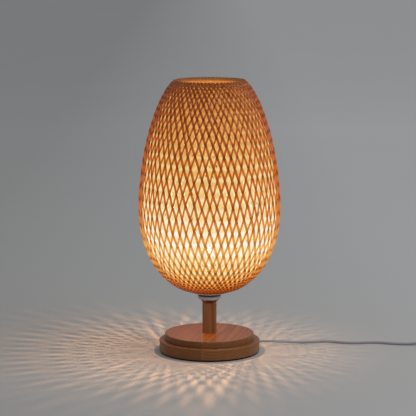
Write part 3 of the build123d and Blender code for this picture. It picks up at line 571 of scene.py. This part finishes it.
# side, way round, own seed, the crossing strips' seed, outer strips' width
families = (("right", 1, 11, 12, 0.0033), ("left", -1, 12, 11, 0.0039))
for side, way, seed, other_seed, outer_width in families:
    woven_wall(
        f"outer_strips_{side}", outer_path, way, finish=outer_bamboo, slot="outer_bamboo", node="outer_weave",
        seed=seed, other_seed=other_seed, width=outer_width, **outer_cut,
    )  # fmt: skip
    woven_wall(
        f"inner_strips_{side}", inner_path, way, finish=inner_bamboo, slot="inner_bamboo", node="inner_weave",
        seed=seed + 10, other_seed=other_seed + 10, **inner_cut,
    )  # fmt: skip

# %% [markdown]
# ## Finishes of the rigid pieces
# The foot, the stem, the lampholder, the bulb, the switch and the plug come from CAD with their true
# shapes, so they keep their meshes and only get finishes. Each finish below is one function, and a table at
# the end gives every CAD piece the finish of its slot.


# %% Wood of the foot and stem
# The rings of each stave of the foot go round its own heart, at this x and z.
left_heart, right_heart = (-0.060, -0.100), (0.030, 0.070)
joint_sharp, joint_inner, joint_outer = 0.00005, 0.0002, 0.0009


def wood_finish(name, turn, joint_at, ring_gap, ring_show, streak, pale, deep):
    """Glued staves: rings round each stave's own heart, streaks along the grain, a thin line at the joint."""
    f = Finish(name)
    here = f.place(turn=turn)

    def stretched(scale, detail, rough):
        """Noise drawn out along the grain, which is the turned Y."""
        return f.noise(1.0, detail, rough, f.add("Mapping", {}, {"Vector": here, "Scale": scale}))

    x, _, z = f.axes(here)
    wobble = stretched((14, 3.5, 14), 3, 0.5) * 0.010
    flat, _, _ = f.axes(f.place())
    right_stave = f.share(flat, joint_at - joint_sharp, joint_at + joint_sharp)
    heart_x, heart_z = (right_stave * (right - left) + left for left, right in zip(left_heart, right_heart))
    rings = ((x - heart_x + wobble) ** 2 + (z - heart_z + wobble) ** 2) ** 0.5
    band = f.share((rings / ring_gap).fraction(), 0.1, 1.0) ** 2.0
    streaks = stretched((streak, 15, streak), 5, 0.62)
    pores = stretched((1500, 45, 1500), 2, 0.5)
    patch = stretched((streak / 5, 9, streak / 5), 3, 0.55)
    # The left stave shows streaks more than rings, and the right one is lighter.
    tone = band * (0.12 + right_stave * ring_show) + streaks * 0.50 + patch * 0.45 - right_stave * 0.30
    colour = f.blend(f.share(tone, 0.16, 0.95), pale, deep)
    joint = 1 - f.share(abs(flat - joint_at), joint_inner, joint_outer)
    colour = f.blend(joint * 0.8, colour, pale)
    relief = f.bump(pores * 0.7 + band * 0.3, 0.00004, 0.35)
    return f.done(
        f.surface(
            Base_Color=colour, Roughness=0.36 + 0.12 * streaks, Normal=relief, Coat_Weight=0.12,
            Coat_Roughness=0.2, Specular_IOR_Level=0.3,
        )
    )  # fmt: skip


foot_wood = wood_finish(
    "foot_wood", turn=(0, 0, math.radians(14)), joint_at=-0.0116, ring_gap=0.0042, ring_show=0.32, streak=620,
    pale=(0.27, 0.105, 0.030), deep=(0.095, 0.030, 0.006),
)  # fmt: skip
# The stem is one stave: its joint would be far outside it.
stem_wood = wood_finish(
    "stem_wood", turn=(math.radians(90), 0, 0), joint_at=-0.5, ring_gap=0.0085, ring_show=0.34, streak=300,
    pale=(0.42, 0.170, 0.052), deep=(0.06, 0.016, 0.003),
)  # fmt: skip
print("wood ready")


# %% Metals
def metal_finish(name, colour, rough, scratch):
    """Polished or plated metal: fine turned scratches, and a little tarnish in cloudy patches."""
    grime, grime_colour = 0.25, (0.08, 0.06, 0.05)
    f = Finish(name)
    patches = f.share(f.noise(55, 4, 0.6), 0.45, 0.8)
    lines = f.noise(1.0, 2, 0.5, f.place((240, 240, 5200)))
    return f.done(
        f.surface(
            Base_Color=f.blend(patches * grime, colour, grime_colour),
            Metallic=1.0 - patches * 0.15,
            Roughness=rough + lines * scratch + patches * 0.1,
            Normal=f.bump(lines, 0.00001, 0.3),
        )
    )


# %% The polished cup
# Two dark bands are painted into the chrome as shade and dark reflection: one under the flange, one above the
# cone.
cup_painted_dark_bands = ((0.0874, 0.0034), (0.0779, 0.0016))  # under the flange and above the cone: height, half width


def cup_finish(name):
    """Chrome with two painted dark bands, which stand in for shade and dark reflection, and a little tarnish
    in patches.
    """
    f = Finish(name)
    _, _, level = f.axes(f.place())
    painted_dark_bands = [f.share(abs(level - at), 0.0004, wide) for at, wide in cup_painted_dark_bands]
    patches = f.share(f.noise(55, 4, 0.6), 0.45, 0.8)
    lines = f.noise(1.0, 2, 0.5, f.place((240, 240, 5200)))
    clear_of_shade_and_tarnish = painted_dark_bands[0] * painted_dark_bands[1] - patches * 0.12
    return f.done(
        f.surface(
            Base_Color=f.blend(clear_of_shade_and_tarnish, (0.05, 0.040, 0.034), (0.64, 0.63, 0.62)),
            Metallic=1.0 - patches * 0.1,
            Roughness=lines * 0.05 + patches * 0.08 + 0.08,
            Normal=f.bump(lines, 0.00001, 0.3),
        )
    )


# %% Plastics, enamel, porcelain and rubber
def moulded_finish(name, colour, rough=0.35, grain=0.00002, grain_scale=1800, coat=0.0, shine=0.5):
    """Anything moulded, painted or glazed: a fine skin, slow changes of tone, and a little soil in places."""
    soil = 0.12
    f = Finish(name)
    slow, fine = f.noise(30, 3, 0.55), f.noise(grain_scale, 2)
    worn = f.share(slow, 0.5, 0.85)
    darker = tuple(c * 0.72 for c in colour)
    return f.done(
        f.surface(
            Base_Color=f.blend(worn * soil + fine * 0.05, colour, darker),
            Roughness=rough + worn * 0.12,
            Normal=f.bump(fine, grain, 0.5),
            Coat_Weight=coat,
            Coat_Roughness=0.1,
            Specular_IOR_Level=shine,
        )
    )


# %% Glass and the glowing filament
def glass_finish(name):
    f = Finish(name)
    smear = f.share(f.noise(70, 3), 0.4, 0.9)
    glass = f.surface(Base_Color=(1.0, 0.985, 0.96), Roughness=smear * 0.05, Transmission_Weight=1.0, IOR=1.5)
    clear = f.add("BsdfTransparent", {}, {"Color": (1.0, 0.99, 0.97)})
    shadow = f.add("LightPath", out="Is Shadow Ray")
    return f.done(f.add("MixShader", {}, {0: shadow, 1: glass, 2: clear}))


def filament_finish(name):
    f = Finish(name)
    heat = f.noise(400, 2)
    glow = f.blend(heat, (1.0, 0.62, 0.26), (1.0, 0.80, 0.50))
    grey = (0.3, 0.28, 0.26)
    return f.done(f.surface(Base_Color=grey, Roughness=0.5, Emission_Color=glow, Emission_Strength=60))


# %% Rattan core
def rattan_finish(name):
    f = Finish(name)
    fibres = f.noise(1.0, 4, 0.6, f.place((900, 900, 900)))
    return f.done(
        f.surface(
            Base_Color=f.blend(fibres, (0.52, 0.33, 0.16), (0.34, 0.19, 0.08)),
            Roughness=fibres * 0.2 + 0.5,
            Normal=f.bump(fibres, 0.0001, 0.6),
        )
    )


# %% The slots and their finishes
finish_of = {
    "foot_pad": moulded_finish(
        "foot_pad", (0.008, 0.008, 0.008), rough=0.85, grain=0.00015, grain_scale=700, shine=0.05
    ),
    "foot_wood": foot_wood,
    "zinc_steel": metal_finish("zinc_steel", (0.60, 0.60, 0.58), 0.32, 0.12),
    "cup_chrome": cup_finish("cup_chrome"),
    "skirt_plastic": moulded_finish("skirt_plastic", (0.74, 0.72, 0.66), 0.4),
    "porcelain": moulded_finish("porcelain", (0.82, 0.80, 0.74), 0.12, coat=0.6),
    "brass": metal_finish("brass", (0.75, 0.55, 0.25), 0.25, 0.1),
    "hoop_rattan": rattan_finish("hoop_rattan"),
    "fitter_steel": moulded_finish("fitter_steel", (0.74, 0.71, 0.64), 0.3, coat=0.3),
    "clear_glass": glass_finish("clear_glass"),
    "black_glass": moulded_finish("black_glass", (0.012, 0.012, 0.016), 0.15, coat=0.4),
    "cap_metal": metal_finish("cap_metal", (0.68, 0.65, 0.60), 0.26, 0.1),
    "filament_metal": filament_finish("filament_metal"),
    "core_brown": moulded_finish("core_brown", (0.16, 0.055, 0.02), 0.4),
    "core_blue": moulded_finish("core_blue", (0.02, 0.07, 0.35), 0.4),
    "switch_plastic": moulded_finish("switch_plastic", (0.78, 0.78, 0.76), 0.28),
    "plug_plastic": moulded_finish("plug_plastic", (0.76, 0.76, 0.74), 0.3),
    "sleeve_plastic": moulded_finish("sleeve_plastic", (0.03, 0.03, 0.03), 0.45),
    "pin_metal": metal_finish("pin_metal", (0.78, 0.75, 0.70), 0.2, 0.08),
}
slot_of_node = {part["node"]: part["material_slot"] for part in frame["record"]["subparts"]}
print("slots:", len(finish_of), "finishes for", len(slot_of_node), "nodes")

# %% [markdown]
# ## The lead
# A two-core lead leaves the right side of the foot through a grommet, drops to the table over the next ten
# centimetres and wanders to the switch. The rest goes round into a coil for storage and ends in the plug.
# The line is a NURBS spline, because its curve has no sudden corner, as a real lead has none. Its control
# points are those of the CAD route, and the turns of the coil come from a loop.

# %% The lead's finish
def lead_finish():
    f = Finish("lead_pvc")
    slow, fine = f.noise(40, 2), f.noise(2500, 2)
    return f.done(
        f.surface(
            Base_Color=f.blend(slow, (0.42, 0.42, 0.46), (0.34, 0.34, 0.39)),
            Roughness=slow * 0.12 + 0.28,
            Normal=f.bump(fine, 0.00001, 0.4),
        )
    )


lead_pvc = lead_finish()
lead_radius = 0.002


def lead(name, route, stands_for):
    """A stretch of the lead along a route in millimetres."""
    curve = bpy.data.curves.new(name, "CURVE")
    curve.dimensions, curve.resolution_u = "3D", 8
    curve.bevel_depth, curve.bevel_resolution, curve.use_fill_caps = lead_radius, 3, True
    line = curve.splines.new("NURBS")
    line.points.add(len(route) - 1)
    for knot, (x, y, z) in zip(line.points, route):
        knot.co = (x * mm, y * mm, z * mm, 1)
    line.order_u, line.use_endpoint_u = 3, True
    return piece(name, curve, lead_pvc, stands_for=stands_for)


# %% Lead from the foot to the switch
exit_turn = math.radians(21)
exit_at = (77.0 * math.cos(exit_turn), 77.0 * math.sin(exit_turn), 8.0)
first_route = [
    exit_at, (88.5, 33.4, 7.5), (111.0, 36.5, 5.4), (146.0, 44.5, 3.0), (180.0, 58.0, 2.0),
    (214.0, 41.0, 2.0), (252.0, 50.5, 2.0), (288.0, 37.0, 2.0), (315.0, 35.4, 2.6), (336.0, 36.0, 6.0),
    (351.0, 36.0, 6.0),
]  # fmt: skip
lead_to_switch = lead("lead_to_switch", first_route, ["cord_run"])

# %% Lead from the switch through the coil to the plug
coil_x, coil_y, coil_turns, knots_per_turn = 400.0, -14.0, 9, 16
outermost, innermost = 33, 15  # the turns go inwards in a lower layer, and outwards again on top of it
lower_layer, upper_layer = 2.8, 6.8
climb = (0.47, 0.53)  # the share of the coil over which the lead climbs from one layer to the other
switch_exit = (394.5, 36.0, 6.0)
second_route = [switch_exit, (407.0, 36.0, 6.0), (419.0, 31.6, 4.8), (428.2, 22.4, 3.6), (432.8, 10.2, 2.9),
                (433.0, -2.5, 2.8)]  # fmt: skip
for i in range(coil_turns * knots_per_turn + 1):
    done = i / (coil_turns * knots_per_turn)
    radius = innermost + (outermost - innermost) * abs(1 - 2 * done)
    level = np.interp(done, climb, (lower_layer, upper_layer))
    angle = -2 * math.pi * coil_turns * done
    second_route.append((coil_x + radius * math.cos(angle), coil_y + radius * math.sin(angle), level))
second_route += [(433.0, -26.0, 6.5), (432.6, -39.0, 4.6), (427.5, -53.0, 2.8), (417.5, -63.0, 2.6),
                 (404.6, -68.0, 5.0), (392.0, -68.0, 7.0)]  # fmt: skip
lead_to_plug = lead("lead_to_plug", second_route, ["cord_link", "cord_coil", "cord_tail"])

# %% The leads are done
print("leads ready")

# %% Give every CAD piece its finish
for name, node in nodes.items():
    slot = slot_of_node.get(name)
    if name == "stem":
        node.data.materials.clear()
        node.data.materials.append(stem_wood)
    elif slot in finish_of:
        node.data.materials.clear()
        node.data.materials.append(finish_of[slot])
    elif not node.hide_render:
        print("no finish for", name, slot)

# %% [markdown]
# ## The light on the table
# The shade throws a fan of soft warm patches round the foot. They come from the bulb through the outer
# wall's diamonds. A lamp bright enough to show them would bleach the shade, so the filament also has a
# column of three small lamps. Light linking gives them only the table to light, and only the outer wall,
# the foot and the lampholder to cast shadows. A glow from the shade's lowest strips warms the foot, and a
# small box light up on the right puts a sheen on the strips' skin.

# %% Link each light to what it lights
def linked_group(name, pieces):
    """A collection of pieces for light linking, kept out of the scene's own."""
    group = bpy.data.collections.new(name)
    for shown in pieces:
        group.objects.link(shown)
    return group


foot_discs = [nodes[n] for n in ("base_pad", "lower_disc", "upper_disc")]
holder_pieces = [nodes[n] for n in ("stem", "holder_cup", "shade_ring", "shade_fitter")]
outer_strips = [bpy.data.objects[f"outer_strips_{side}"] for side in ("left", "right")]
lit_by_table_light = linked_group("lit_by_table_light", [table_top])
shadows_in_table_light = linked_group("shadows_in_table_light", [*outer_strips, *foot_discs, *holder_pieces])
for table_light in table_lights:
    table_light.light_linking.receiver_collection = lit_by_table_light
    table_light.light_linking.blocker_collection = shadows_in_table_light
under_shade.light_linking.receiver_collection = linked_group("lit_by_under_shade", foot_discs)
sheen_box.light_linking.receiver_collection = linked_group("lit_by_sheen_box", outer_strips)

# %% The end of the script
import json
